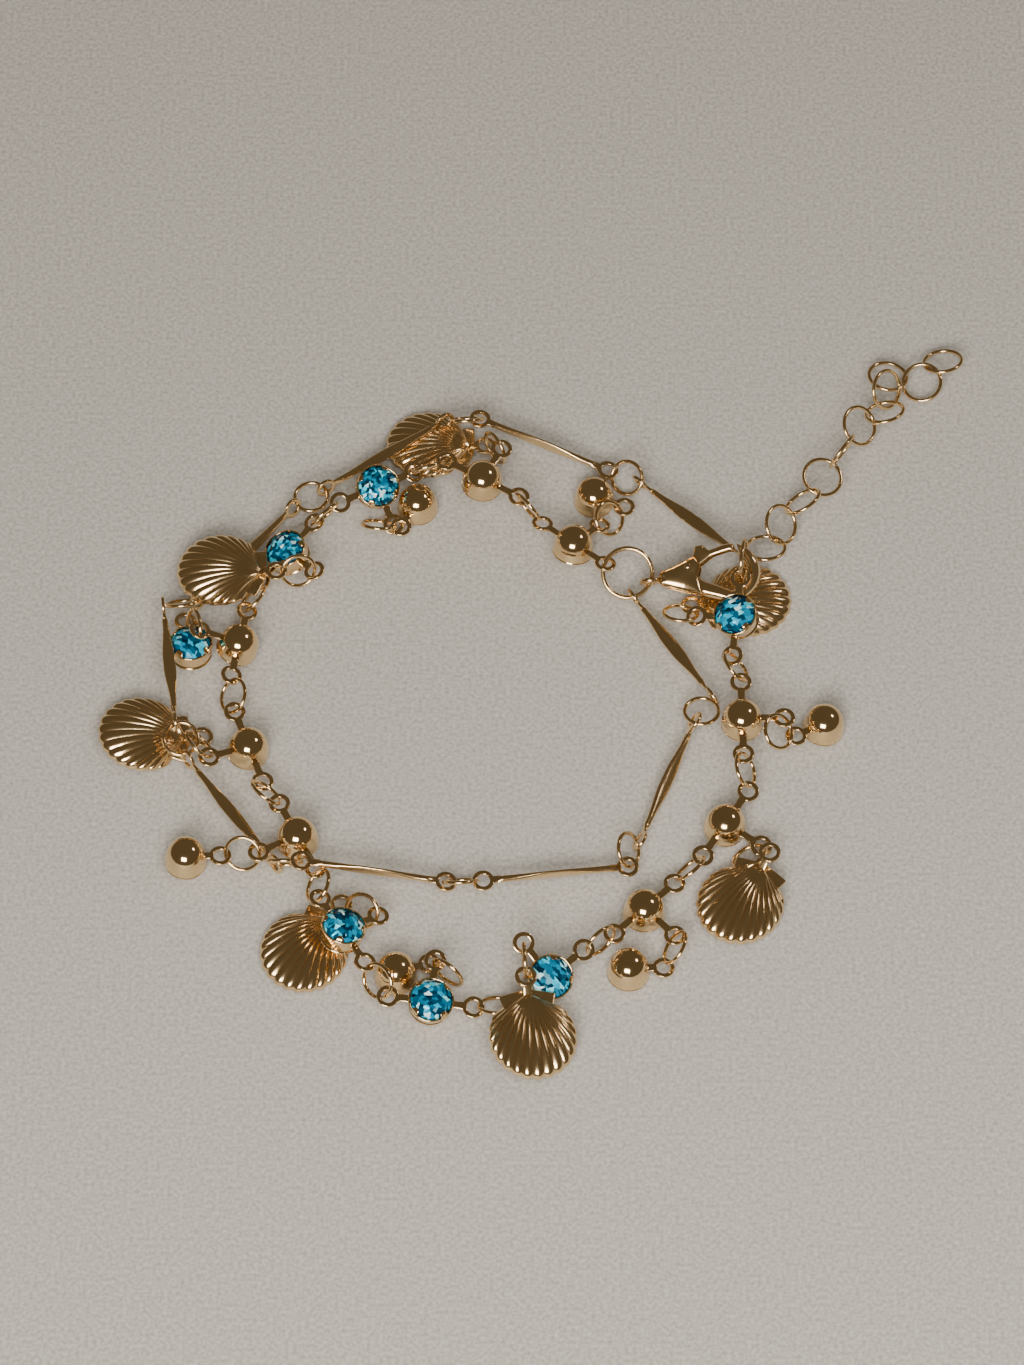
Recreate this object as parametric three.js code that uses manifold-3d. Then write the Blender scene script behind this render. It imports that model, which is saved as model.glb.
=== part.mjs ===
// A two-strand charm bracelet lying clasped on a level surface. Millimetres, +Z up.
// One strand is ten flattened bar links. The other is fourteen small settings with three eyes,
// each holding a faceted stone or a polished ball and carrying one drop.
import * as THREE from 'three';
import { mergeVertices } from 'three/addons/utils/BufferGeometryUtils.js';
import Module from 'manifold-3d';

const wasm = await Module();
wasm.setup();

// Driving dimensions

const EYE = { hole: 0.66, outer: 1.1, thick: 0.32, neck: 0.42, sides: 4 };
const JUMP = { radius: 1.7, wire: 0.42, sides: 10, wireSides: 5 };
const BIG_RING = { radius: 2.5, wire: 0.5, sides: 16, wireSides: 6 };
const SOLDER = 0.12; // how far a jump ring's wire sinks into the eye that it is closed on
const CUP = { foot: 1.95, wall: 2.2, rim: 2.25, height: 2.0, sides: 10 };
const EYE_LEVEL = 1.15; // height of a setting's eyes over its foot
const STATION_REACH = 4.2; // from a station's axis to the middle of an eye
const DROP_REACH = 3.4; // the same on a drop, whose eye has no free neck
const BAR = { span: 14.4, eyeRod: 0.36, paddleWide: 0.64, paddleThick: 0.34, sides: 6 };
const SHELL = { length: 8.8, halfFan: 64, height: 1.15, wall: 0.4, ribs: 8, rib: 0.16, neck: 0.4 };
const CLASP = { thick: 1.7, round: 3.0, wall: 1.2, middle: 8.2, neckX: 1.0, neckY: 0.6 };
const CHEEK = { inner: 0.8, outer: 1.1, low: 5.3, high: 4.5 };
const LEVER = { pivotX: 3.95, pivotY: 1.0, root: 0.72, wide: 0.85, gap: 0.3, thick: 1.0, reach: 5.15 };
const END_LINK = { radius: 2.1, wire: 0.42, sides: 12, wireSides: 5 };
const LINK = { radius: 1.97, wire: 0.42, sides: 10, wireSides: 5 };

// Where each piece lies. x and y are on the surface, heading is the way that it runs,
// tilt is how far its face leans from level and lean is the way that it leans, in degrees.

const STATIONS = [
  // heading runs from the eye before to the eye after, and side is where the third eye is
  { holds: 'ball', x: 6.3, y: 14.9, heading: 139, side: -1, tilt: 17, lean: 67.5, lift: 1.15 },
  { holds: 'ball', x: -3, y: 21.9, heading: 152.5, side: -1, tilt: 5.5, lean: -26.5, lift: 2.95 },
  { holds: 'stone', x: -13.85, y: 21.95, heading: 206, side: 1, tilt: 25.5, lean: -68, lift: 0.75 },
  { holds: 'stone', x: -22.95, y: 14.3, heading: 226.5, side: 1, tilt: 19.5, lean: 178.5, lift: 0.3 },
  { holds: 'ball', x: -27.55, y: 3.2, heading: 260, side: -1, tilt: 18.5, lean: 11, lift: 0.6 },
  { holds: 'ball', x: -26.3, y: -8.75, heading: 291, side: -1, tilt: 7.5, lean: -8, lift: 0.5 },
  { holds: 'ball', x: -21.2, y: -19.4, heading: 296.5, side: -1, tilt: 1, lean: 62, lift: 1.25 },
  { holds: 'stone', x: -16.55, y: -30.55, heading: 302.5, side: 1, tilt: 14, lean: 30.5, lift: 1.65 },
  { holds: 'stone', x: -7.9, y: -37.75, heading: 354.5, side: 1, tilt: 14.5, lean: -69, lift: 0.25 },
  { holds: 'stone', x: 3.7, y: -35.1, heading: 40.5, side: 1, tilt: 31.5, lean: -75, lift: 0 },
  { holds: 'ball', x: 13, y: -27.25, heading: 44.5, side: -1, tilt: 3, lean: 20, lift: 0.5 },
  { holds: 'ball', x: 21.15, y: -17.75, heading: 57, side: -1, tilt: 9, lean: -63, lift: 0.6 },
  { holds: 'ball', x: 23, y: -6.25, heading: 90.5, side: -1, tilt: 0, lean: -14, lift: 2.15 },
  { holds: 'stone', x: 22.7, y: 5.7, heading: 81.5, side: 1, tilt: 20.5, lean: -145.5, lift: 1.6 },
];

const DROPS = [
  // one for each station, with heading from its eye to its body, and x and y of its eye
  { kind: 'ball', x: 11.55, y: 20.55, heading: 155, tilt: 0, lean: 8.5, lift: 0 },
  { kind: 'shell', x: -2.75, y: 27.8, heading: 171.5, tilt: 6, lean: 83, lift: 0.55 },
  { kind: 'ball', x: -11.4, y: 17.9, heading: 60, tilt: 2, lean: -64, lift: 0.3 },
  { kind: 'shell', x: -23.9, y: 10.9, heading: 170.5, tilt: 3.5, lean: 145.5, lift: 2.8 },
  { kind: 'stone', x: -33.15, y: 6.5, heading: 281.5, tilt: 5.5, lean: 80, lift: 0.15 },
  { kind: 'shell', x: -31, y: -7.15, heading: 177.5, tilt: 10.5, lean: 13, lift: 0.05 },
  { kind: 'ball', x: -28.8, y: -21.2, heading: 182.5, tilt: 3.5, lean: 16, lift: 0.5 },
  { kind: 'shell', x: -16.75, y: -26.75, heading: 233.5, tilt: 3.5, lean: -43, lift: 0.55 },
  { kind: 'ball', x: -8.05, y: -33.25, heading: 195, tilt: 2, lean: -70.5, lift: 0.3 },
  { kind: 'shell', x: 1.35, y: -36.05, heading: 278, tilt: 8, lean: -31.5, lift: 2.75 },
  { kind: 'ball', x: 14.8, y: -33.6, heading: 180.5, tilt: 2.5, lean: 17.5, lift: 0.05 },
  { kind: 'shell', x: 25.4, y: -21.4, heading: 239.5, tilt: 3, lean: -141, lift: 1.5 },
  { kind: 'ball', x: 28.4, y: -7.5, heading: 30.5, tilt: 6, lean: 2.5, lift: 0.75 },
  { kind: 'shell', x: 18.25, y: 8.5, heading: 12.5, tilt: 0, lean: 160, lift: 0 },
];

const BARS = [
  // x and y of the middle, roll of the eyes from level, and the height of each end
  { x: 16.25, y: 3.35, heading: 302.5, roll: 103, from: 1.25, to: 1.8 },
  { x: 15.45, y: -12.6, heading: 247, roll: 57.5, from: 2.25, to: 1.2 },
  { x: 4.3, y: -23.45, heading: 187.5, roll: -4, from: 1.75, to: 2.25 },
  { x: -13.6, y: -23.5, heading: 175, roll: 0.5, from: 1.6, to: 3.55 },
  { x: -27.85, y: -16.25, heading: 128.5, roll: 97.5, from: 1.2, to: 2.55 },
  { x: -34.45, y: 0.25, heading: 97, roll: 90, from: 3.65, to: 2.65 },
  { x: -27.2, y: 14.5, heading: 49, roll: 73.5, from: 1.2, to: 1.9 },
  { x: -13.05, y: 26.1, heading: 32, roll: 83.5, from: 2.1, to: 3.15 },
  { x: 3.3, y: 27.8, heading: 337, roll: -3, from: 2.55, to: 1.35 },
  { x: 18.5, y: 18.2, heading: 317, roll: 107, from: 1.8, to: 2.65 },
];

const EXTENDER = [
  // x, y and z of each link's middle, the way that it runs and its roll about that way
  { x: 23.5, y: 11.95, z: 4.3, heading: 81.5, roll: 85 },
  { x: 25.84, y: 14.24, z: 3.09, heading: 6.73, roll: -20.03 },
  { x: 27.5, y: 17.3, z: 2.78, heading: 61.46, roll: 45.9 },
  { x: 29.79, y: 20.18, z: 2.73, heading: 49, roll: -43 },
  { x: 31.92, y: 23.14, z: 2.79, heading: 42, roll: 17 },
  { x: 34.01, y: 26.14, z: 3.08, heading: 55, roll: -76 },
  { x: 35.9, y: 29.26, z: 3.23, heading: 60, roll: 40 },
  { x: 38.62, y: 31.5, z: 2.46, heading: 27, roll: -28 },
  { x: 38.96, y: 34.66, z: 2.07, heading: 56, roll: 56 },
  { x: 39.22, y: 36.87, z: 1.28, heading: 147, roll: 11 },
  { x: 42.75, y: 36.03, z: 1.39, heading: -32, roll: 22 },
  { x: 44.99, y: 38.48, z: 1.7, heading: 21, roll: -23 },
];

const RING_PLACE = { x: 11.75, y: 11.45, z: 2.7, heading: 2, roll: 34 };
const CLASP_PLACE = { x: 14.15, y: 10.75, z: 2.2, heading: 1, roll: 25, rise: 0.17 };

// Small helpers

const radians = THREE.MathUtils.degToRad;
const UP = new THREE.Vector3(0, 0, 1);
const along = (degrees) => new THREE.Vector3(Math.cos(radians(degrees)), Math.sin(radians(degrees)), 0);

// A turn that first points +X along the heading and then leans the upright towards a direction.
function facing(heading, tilt = 0, lean = 0) {
  const axis = along(lean + 90);
  const leaning = new THREE.Quaternion().setFromAxisAngle(axis, radians(tilt));
  const turning = new THREE.Quaternion().setFromAxisAngle(UP, radians(heading));
  return leaning.multiply(turning);
}

// A turn that points +X along a direction in space and rolls about it.
function running(direction, roll) {
  const x = direction.clone().normalize();
  const y = new THREE.Vector3().crossVectors(UP, x).normalize();
  const z = new THREE.Vector3().crossVectors(x, y);
  const basis = new THREE.Quaternion().setFromRotationMatrix(new THREE.Matrix4().makeBasis(x, y, z));
  return basis.multiply(new THREE.Quaternion().setFromAxisAngle(new THREE.Vector3(1, 0, 0), radians(roll)));
}

const placing = (position, turn) => new THREE.Matrix4().compose(position, turn, new THREE.Vector3(1, 1, 1));

// Closed geometry to solid, and back.
function solidOf(geometry, matrix) {
  const bare = geometry.clone();
  bare.deleteAttribute('normal');
  bare.deleteAttribute('uv');
  if (matrix) bare.applyMatrix4(matrix);
  const merged = mergeVertices(bare);
  const corners = [];
  const index = merged.index.array;
  for (let i = 0; i < index.length; i += 3) {
    const [a, b, c] = [index[i], index[i + 1], index[i + 2]];
    if (a !== b && b !== c && c !== a) corners.push(a, b, c);
  }
  return new wasm.Manifold(new wasm.Mesh({
    numProp: 3,
    vertProperties: new Float32Array(merged.attributes.position.array),
    triVerts: new Uint32Array(corners),
  }));
}

function geometryOf(solid) {
  const mesh = solid.getMesh();
  const geometry = new THREE.BufferGeometry();
  geometry.setAttribute('position', new THREE.BufferAttribute(new Float32Array(mesh.vertProperties), 3));
  geometry.setIndex(new THREE.BufferAttribute(new Uint32Array(mesh.triVerts), 1));
  geometry.computeVertexNormals();
  return geometry;
}

const fuse = (solids) => solids.reduce((whole, next) => whole.add(next));

// Bodies of revolution about Z, from a profile of radius and height that runs from foot to top.
function turned(profile, sides) {
  const points = profile.map(([radius, height]) => new THREE.Vector2(radius, height));
  const geometry = new THREE.LatheGeometry(points, sides);
  geometry.rotateX(Math.PI / 2);
  return geometry;
}

// A closed solid through rows of points, each row a closed outline, with flat ends.
function lofted(rows) {
  const sides = rows[0].length;
  const positions = rows.flat().flatMap((point) => point.toArray());
  const index = [];
  for (let row = 0; row + 1 < rows.length; row += 1) {
    for (let side = 0; side < sides; side += 1) {
      const a = row * sides + side;
      const b = row * sides + (side + 1) % sides;
      index.push(a, b, b + sides, a, b + sides, a + sides);
    }
  }
  const last = (rows.length - 1) * sides;
  for (let side = 1; side + 1 < sides; side += 1) {
    index.push(0, side + 1, side);
    index.push(last, last + side, last + side + 1);
  }
  const geometry = new THREE.BufferGeometry();
  geometry.setAttribute('position', new THREE.Float32BufferAttribute(positions, 3));
  geometry.setIndex(index);
  return geometry;
}

// Pieces of metal that repeat

// A flat stamped eye on its neck. The neck starts at root, and the hole is at reach, both along +X.
function eyeGeometry(reach, root) {
  const meet = Math.asin(EYE.neck / EYE.outer);
  const shape = new THREE.Shape();
  shape.moveTo(root, EYE.neck);
  shape.lineTo(root, -EYE.neck);
  shape.absarc(reach, 0, EYE.outer, meet - Math.PI, Math.PI - meet, false);
  const hole = new THREE.Path();
  hole.absarc(reach, 0, EYE.hole, 0, 2 * Math.PI, true);
  shape.holes.push(hole);
  const options = { depth: EYE.thick, bevelEnabled: false, curveSegments: EYE.sides };
  return new THREE.ExtrudeGeometry(shape, options).translate(0, 0, -EYE.thick / 2);
}

const ringGeometry = ({ radius, wire, sides, wireSides }) => (
  new THREE.TorusGeometry(radius, wire / 2, wireSides, sides));

// A jump ring is closed on one eye and passes free through the middle of another. Of all the ways
// that it can lie, it takes the one where its wire crosses both eyes most squarely and clears the
// surface. Each eye is its middle and the normal of its plane.
function jumpRing(owner, other) {
  const reach = other.middle.clone().sub(owner.middle);
  const span = reach.length();
  const way = reach.clone().normalize();
  const near = JUMP.radius - JUMP.wire / 2 + EYE.hole + SOLDER;
  const slack = span < near + JUMP.radius - SLACK_FROM;
  const forward = slack ? (span ** 2 + near ** 2 - JUMP.radius ** 2) / (2 * span) : near;
  const aside = slack ? Math.sqrt(Math.max(0, near ** 2 - forward ** 2)) : 0;
  const across = new THREE.Vector3().crossVectors(UP, way).normalize();
  const upward = new THREE.Vector3().crossVectors(way, across);
  let best = null;
  for (let lean = -180; lean < 180; lean += 5) {
    const out = across.clone().multiplyScalar(Math.cos(radians(lean)));
    out.addScaledVector(upward, Math.sin(radians(lean)));
    const normal = new THREE.Vector3().crossVectors(way, out);
    const middle = owner.middle.clone().addScaledVector(way, forward).addScaledVector(out, aside);
    const low = middle.z - JUMP.radius * Math.sqrt(Math.max(0, 1 - normal.z ** 2)) - JUMP.wire / 2;
    const [square, ownSquare] = [other, owner].map((eye) => {
      const spoke = eye.middle.clone().sub(middle).normalize();
      return Math.abs(new THREE.Vector3().crossVectors(normal, spoke).dot(eye.normal));
    });
    const above = Math.abs(owner.middle.clone().sub(middle).normalize().dot(owner.normal));
    const score = Math.min(square, 0.75) + 0.2 * Math.min(ownSquare, 0.7) - 2 * Math.max(0, above - 0.5)
      + 10 * Math.min(0, low - FLOOR_GAP) - 0.02 * middle.z;
    if (!best || score > best.score) best = { score, middle, normal, square, low, owner };
  }
  return best;
}
const SLACK_FROM = 0.35;
const FLOOR_GAP = 0.03;

// The ring as a solid, with a corner of its outline on the eye that it is closed on.
function ringSolid(ring, toLocal) {
  const spoke = ring.owner.middle.clone().sub(ring.middle).normalize();
  const side = new THREE.Vector3().crossVectors(ring.normal, spoke);
  const lying = new THREE.Matrix4().makeBasis(spoke, side, ring.normal).setPosition(ring.middle);
  return solidOf(ringGeometry(JUMP), toLocal.clone().multiply(lying));
}

// Settings: the foot, wall and rim of a cup with its ball or stone, about the level of the eyes.
function settingGeometry(holds) {
  const rim = CUP.height - EYE_LEVEL;
  const foot = [[0, -EYE_LEVEL], [CUP.foot, -EYE_LEVEL]];
  if (holds === 'ball') {
    return turned([...foot, [CUP.wall, -0.1], [1.85, 1.0], [1.05, 1.7], [0, 1.95]], CUP.sides);
  }
  return turned([...foot, [CUP.rim, rim], [2.0, rim + 0.02], [1.2, rim + 0.65], [0, rim + 0.65]], CUP.sides);
}

const EYE_ROOT = 1.6;

// Meshes and their colours

const GOLD = 0xc9a25a;
const BLUE = 0x0a7f9e;
function piece(name, solid, matrix, colour = GOLD) {
  const metal = colour === GOLD;
  const material = new THREE.MeshStandardMaterial({
    color: colour, roughness: metal ? 0.22 : 0.08, metalness: metal ? 1 : 0,
  });
  const mesh = new THREE.Mesh(geometryOf(solid), material);
  mesh.name = name;
  mesh.applyMatrix4(matrix);
  return mesh;
}

const number = (i) => String(i + 1).padStart(2, '0');

// Places of the stations, with their eyes in the bracelet's frame

function seatHeight({ tilt, lift }) {
  return EYE_LEVEL * Math.cos(radians(tilt)) + CUP.wall * Math.sin(radians(tilt)) + lift;
}

const stationPlaces = STATIONS.map((row) => {
  const turn = facing(row.heading, row.tilt, row.lean);
  const matrix = placing(new THREE.Vector3(row.x, row.y, seatHeight(row)), turn);
  const normal = UP.clone().applyQuaternion(turn);
  const eye = (x, y) => ({ middle: new THREE.Vector3(x, y, 0).applyMatrix4(matrix), normal });
  return {
    matrix,
    before: eye(-STATION_REACH, 0),
    after: eye(STATION_REACH, 0),
    third: eye(0, row.side * STATION_REACH),
  };
});

function station(row, i) {
  const place = stationPlaces[i];
  const toLocal = place.matrix.clone().invert();
  const solids = [solidOf(settingGeometry(row.holds))];
  for (const turn of [0, 180, 90 * row.side]) {
    solids.push(solidOf(eyeGeometry(STATION_REACH, EYE_ROOT), new THREE.Matrix4().makeRotationZ(radians(turn))));
  }
  if (i + 1 < STATIONS.length) {
    solids.push(ringSolid(jumpRing(place.after, stationPlaces[i + 1].before), toLocal));
  }
  return piece(`${row.holds}_station_${number(i)}`, fuse(solids), place.matrix, row.holds === 'stone' ? BLUE : GOLD);
}

// Drops. A setting's drop turns about its eye's middle, as a shell does.

function dropPlace(row) {
  const turn = facing(row.heading, row.tilt, row.lean);
  let height = EYE_LEVEL + row.lift;
  if (row.kind === 'shell') height = SHELL_EYE + row.lift;
  const matrix = placing(new THREE.Vector3(row.x, row.y, height), turn);
  const middle = new THREE.Vector3().applyMatrix4(matrix);
  return { matrix, eye: { middle, normal: UP.clone().applyQuaternion(turn) } };
}
const SHELL_EYE = 1.15;

function settingDrop(row) {
  const beside = new THREE.Matrix4().makeTranslation(DROP_REACH, 0, 0);
  const flipped = beside.clone().multiply(new THREE.Matrix4().makeRotationZ(Math.PI));
  return [solidOf(settingGeometry(row.kind), beside), solidOf(eyeGeometry(DROP_REACH, EYE_ROOT), flipped)];
}

// A pressed shell: rays fan out from its apex under a low dome, with ribs along the rays. The
// inside is the same surface one wall lower, without ribs.
function shellGeometry() {
  const rays = 2 * SHELL.ribs;
  const steps = [0.4, 0.75, 1];
  const apexX = EYE.outer + SHELL.neck;
  const positions = [];
  const point = (ray, step, drop, ribbed) => {
    const share = ray / rays * 2 - 1;
    const angle = radians(share * SHELL.halfFan);
    const rib = ribbed && ray % 2 ? SHELL.rib * step : 0;
    const run = SHELL.length * Math.cos(angle) ** 1.1 * step + rib;
    const dome = (4 * step * (1 - step)) ** 0.6 * (1 - share ** 4);
    const side = Math.abs(share) === 1 ? 0 : rib;
    return [apexX + run * Math.cos(angle), run * Math.sin(angle), SHELL.height * dome - drop + side - SHELL_EYE];
  };
  const shared = [];
  for (const [drop, ribbed] of [[-SHELL.wall, true], [0, false]]) {
    const apex = positions.length / 3;
    positions.push(apexX, 0, -drop - SHELL_EYE);
    const rows = steps.map((step) => {
      const row = [];
      for (let ray = 0; ray <= rays; ray += 1) {
        row.push(positions.length / 3);
        positions.push(...point(ray, step, drop, ribbed));
      }
      return row;
    });
    shared.push({ apex, rows });
  }
  const index = [];
  const [top, bottom] = shared;
  const sheet = ({ apex, rows }, flip) => {
    const put = (a, b, c) => index.push(...(flip ? [a, c, b] : [a, b, c]));
    for (let ray = 0; ray < rays; ray += 1) {
      put(apex, rows[0][ray], rows[0][ray + 1]);
      for (let i = 0; i + 1 < rows.length; i += 1) {
        put(rows[i][ray], rows[i + 1][ray], rows[i + 1][ray + 1]);
        put(rows[i][ray], rows[i + 1][ray + 1], rows[i][ray + 1]);
      }
    }
  };
  sheet(top, false);
  sheet(bottom, true);
  const outline = ({ apex, rows }) => [
    apex, ...rows.slice(0, -1).map((row) => row[0]), ...rows.at(-1), ...rows.slice(0, -1).reverse().map((row) => row.at(-1)),
  ];
  const upper = outline(top);
  const lower = outline(bottom);
  for (let i = 0; i < upper.length; i += 1) {
    const next = (i + 1) % upper.length;
    index.push(lower[i], lower[next], upper[next], lower[i], upper[next], upper[i]);
  }
  const geometry = new THREE.BufferGeometry();
  geometry.setAttribute('position', new THREE.Float32BufferAttribute(positions, 3));
  geometry.setIndex(index);
  return geometry;
}

function shellDrop() {
  const apexX = EYE.outer + SHELL.neck;
  const ears = new THREE.Shape();
  ears.moveTo(apexX - 0.4, -0.7);
  ears.lineTo(apexX + 0.1, -2.8);
  ears.lineTo(apexX + 2.0, -2.3);
  ears.lineTo(apexX + 2.0, 2.3);
  ears.lineTo(apexX + 0.1, 2.8);
  ears.lineTo(apexX - 0.4, 0.7);
  const plate = new THREE.ExtrudeGeometry(ears, { depth: 0.5, bevelEnabled: false });
  plate.translate(0, 0, SHELL.wall * 0.5 - SHELL_EYE);
  const neck = lofted([-0.2, 0.2].map((_, end) => {
    const [x, z, tall] = end ? [apexX + 0.6, 0.35 - SHELL_EYE, 0.3] : [EYE.hole + 0.1, 0, EYE.thick / 2];
    return [[-EYE.neck, -tall], [EYE.neck, -tall], [EYE.neck, tall], [-EYE.neck, tall]].map(
      ([y, up]) => new THREE.Vector3(x, y, z + up));
  }));
  const eye = solidOf(eyeGeometry(0, -EYE.outer - 0.2), new THREE.Matrix4().makeRotationZ(Math.PI));
  return [solidOf(shellGeometry()), solidOf(plate), solidOf(neck), eye];
}

const dropPlaces = DROPS.map(dropPlace);

function drop(row, i) {
  const place = dropPlaces[i];
  const solids = row.kind === 'shell' ? shellDrop() : settingDrop(row);
  solids.push(ringSolid(jumpRing(place.eye, stationPlaces[i].third), place.matrix.clone().invert()));
  const name = row.kind === 'shell' ? 'shell_charm' : `${row.kind}_drop`;
  return piece(`${name}_${number(i)}`, fuse(solids), place.matrix, row.kind === 'stone' ? BLUE : GOLD);
}

// Bar links

const barPlaces = BARS.map((row) => {
  const rise = (row.to - row.from) / BAR.span;
  const direction = along(row.heading).multiplyScalar(Math.sqrt(1 - rise ** 2)).setZ(rise);
  const turn = running(direction, row.roll);
  const matrix = placing(new THREE.Vector3(row.x, row.y, (row.from + row.to) / 2), turn);
  const normal = UP.clone().applyQuaternion(turn);
  const eye = (x) => ({ middle: new THREE.Vector3(x, 0, 0).applyMatrix4(matrix), normal });
  return { matrix, before: eye(-BAR.span / 2), after: eye(BAR.span / 2) };
});

// The rod between the eyes is round at its ends and pressed to a paddle across the eyes' plane.
function barGeometry() {
  const end = BAR.span / 2 - EYE.hole - 0.2;
  const rows = [
    { x: -end, wide: 0.3, thick: 0.16 }, { x: -end + 0.9, wide: BAR.eyeRod, thick: BAR.eyeRod },
    { x: -2.6, wide: BAR.paddleThick, thick: BAR.paddleWide }, { x: 2.6, wide: BAR.paddleThick, thick: BAR.paddleWide },
    { x: end - 0.9, wide: BAR.eyeRod, thick: BAR.eyeRod }, { x: end, wide: 0.3, thick: 0.16 },
  ];
  return lofted(rows.map(({ x, wide, thick }) => Array.from({ length: BAR.sides }, (_, side) => {
    const angle = (side + 0.5) / BAR.sides * 2 * Math.PI;
    return new THREE.Vector3(x, wide * Math.cos(angle), thick * Math.sin(angle));
  })));
}

function bar(row, i) {
  const place = barPlaces[i];
  const solids = [solidOf(barGeometry())];
  for (const turn of [0, Math.PI]) {
    solids.push(solidOf(eyeGeometry(BAR.span / 2, BAR.span / 2 - EYE.outer - 0.6), new THREE.Matrix4().makeRotationZ(turn)));
  }
  if (i + 1 < BARS.length) {
    solids.push(ringSolid(jumpRing(place.after, barPlaces[i + 1].before), place.matrix.clone().invert()));
  }
  return piece(`bar_link_${number(i)}`, fuse(solids), place.matrix);
}

// The clasp

const claspMatrix = (() => {
  const turn = running(along(CLASP_PLACE.heading).setZ(CLASP_PLACE.rise), CLASP_PLACE.roll);
  return placing(new THREE.Vector3(CLASP_PLACE.x, CLASP_PLACE.y, CLASP_PLACE.z), turn);
})();

// Where a circle round the hook's middle lies at a given reach from the lever's pivot, as an angle.
// The lever's end and the hook's end are both cut at such a reach, so that the lever swings clear.
function angleAt(radius, reach) {
  const run = CLASP.middle - LEVER.pivotX;
  const rise = LEVER.pivotY;
  const bend = (reach ** 2 - run ** 2 - rise ** 2 - radius ** 2) / (2 * radius * Math.hypot(run, rise));
  return Math.acos(bend) - Math.atan2(rise, run);
}

const shoulder = (() => { // where the flanks that run from the neck meet the round end
  const run = CLASP.middle - CLASP.neckX;
  return Math.PI - Math.atan2(CLASP.neckY, run) - Math.acos(CLASP.round / Math.hypot(run, CLASP.neckY));
})();

function claspBodyGeometry() {
  const { round, wall, middle, neckX, neckY } = CLASP;
  const inner = round - wall;
  const recess = LEVER.root + LEVER.gap;
  const shape = new THREE.Shape();
  shape.moveTo(neckX, -neckY);
  const hookReach = LEVER.reach + LEVER.gap;
  shape.absarc(middle, 0, round, -shoulder, angleAt(round, hookReach), false);
  shape.absarc(middle, 0, inner, angleAt(inner, hookReach), -Math.PI / 2, true);
  shape.lineTo(LEVER.pivotX + 1.5, LEVER.pivotY - 1.6);
  shape.absarc(LEVER.pivotX, LEVER.pivotY, recess, radians(-50), radians(-205), true);
  shape.lineTo(neckX, neckY);
  const options = { depth: CLASP.thick, bevelEnabled: false, curveSegments: 7 };
  return new THREE.ExtrudeGeometry(shape, options).translate(0, 0, -CLASP.thick / 2);
}

// Two cheeks cover the lever's root. Their flanks run from the neck to x of low and of high.
function cheeks() {
  const { neckX, neckY, middle, round } = CLASP;
  const slope = (round * Math.sin(shoulder) - neckY) / (middle + round * Math.cos(shoulder) - neckX);
  const flank = (x) => neckY + (x - neckX) * slope;
  const shape = new THREE.Shape();
  shape.moveTo(neckX, -neckY);
  shape.lineTo(CHEEK.low, -flank(CHEEK.low));
  shape.absarc(LEVER.pivotX, LEVER.pivotY, LEVER.root + LEVER.gap + 0.2, radians(-40), radians(50), false);
  shape.lineTo(CHEEK.high, flank(CHEEK.high));
  shape.lineTo(neckX, neckY);
  const options = { depth: CHEEK.outer - CHEEK.inner, bevelEnabled: false, curveSegments: 4 };
  return [CHEEK.inner, -CHEEK.outer].map((z) => (
    solidOf(new THREE.ExtrudeGeometry(shape, options).translate(0, 0, z))));
}

function claspBody() {
  const eye = new THREE.TorusGeometry(0.95, 0.28, 6, 10);
  eye.rotateX(Math.PI / 2);
  const shank = new THREE.BoxGeometry(0.9, 0.6, 0.6).translate(CLASP.neckX + 0.2, 0, 0);
  return piece('clasp_body', fuse([solidOf(claspBodyGeometry()), ...cheeks(), solidOf(eye), solidOf(shank)]), claspMatrix);
}

function claspLever() {
  const { middle, round } = CLASP;
  const { pivotX, pivotY, root, wide, thick, reach } = LEVER;
  const shape = new THREE.Shape();
  shape.absarc(pivotX, pivotY, root, radians(120), radians(300), false);
  shape.lineTo(middle - 1.6, round - wide - 0.35);
  shape.absarc(middle, 0, round - wide, Math.PI / 2, angleAt(round - wide, reach), true);
  shape.absarc(middle, 0, round, angleAt(round, reach), shoulder, false);
  shape.lineTo(pivotX + 2.2, pivotY + 1.55);
  shape.lineTo(pivotX + 1.6, pivotY + 2.2);
  shape.lineTo(pivotX + 0.8, pivotY + 2.1);
  shape.lineTo(pivotX + 0.5, pivotY + 1.1);
  const options = { depth: thick, bevelEnabled: false, curveSegments: 5 };
  const geometry = new THREE.ExtrudeGeometry(shape, options).translate(0, 0, -thick / 2);
  return piece('clasp_lever', solidOf(geometry), claspMatrix);
}

const ringMatrix = ({ x, y, z, heading, roll }) => placing(new THREE.Vector3(x, y, z), running(along(heading), roll));

function claspRing() {
  return piece('clasp_ring', solidOf(ringGeometry(BIG_RING)), ringMatrix(RING_PLACE));
}

function extenderChain() {
  const links = EXTENDER.map((row, i) => solidOf(ringGeometry(i ? LINK : END_LINK), ringMatrix(row)));
  return piece('extender_chain', fuse(links), new THREE.Matrix4());
}

const group = new THREE.Group();
group.add(claspRing(), claspBody(), claspLever(), extenderChain());
group.add(...STATIONS.map(station), ...DROPS.map(drop), ...BARS.map(bar));

// The origin is at the middle of the bracelet's foot.
const box = new THREE.Box3().setFromObject(group, true);
const centre = box.getCenter(new THREE.Vector3());
group.position.set(-centre.x, -centre.y, -box.min.z);
group.updateMatrixWorld(true);

export default group;
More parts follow.
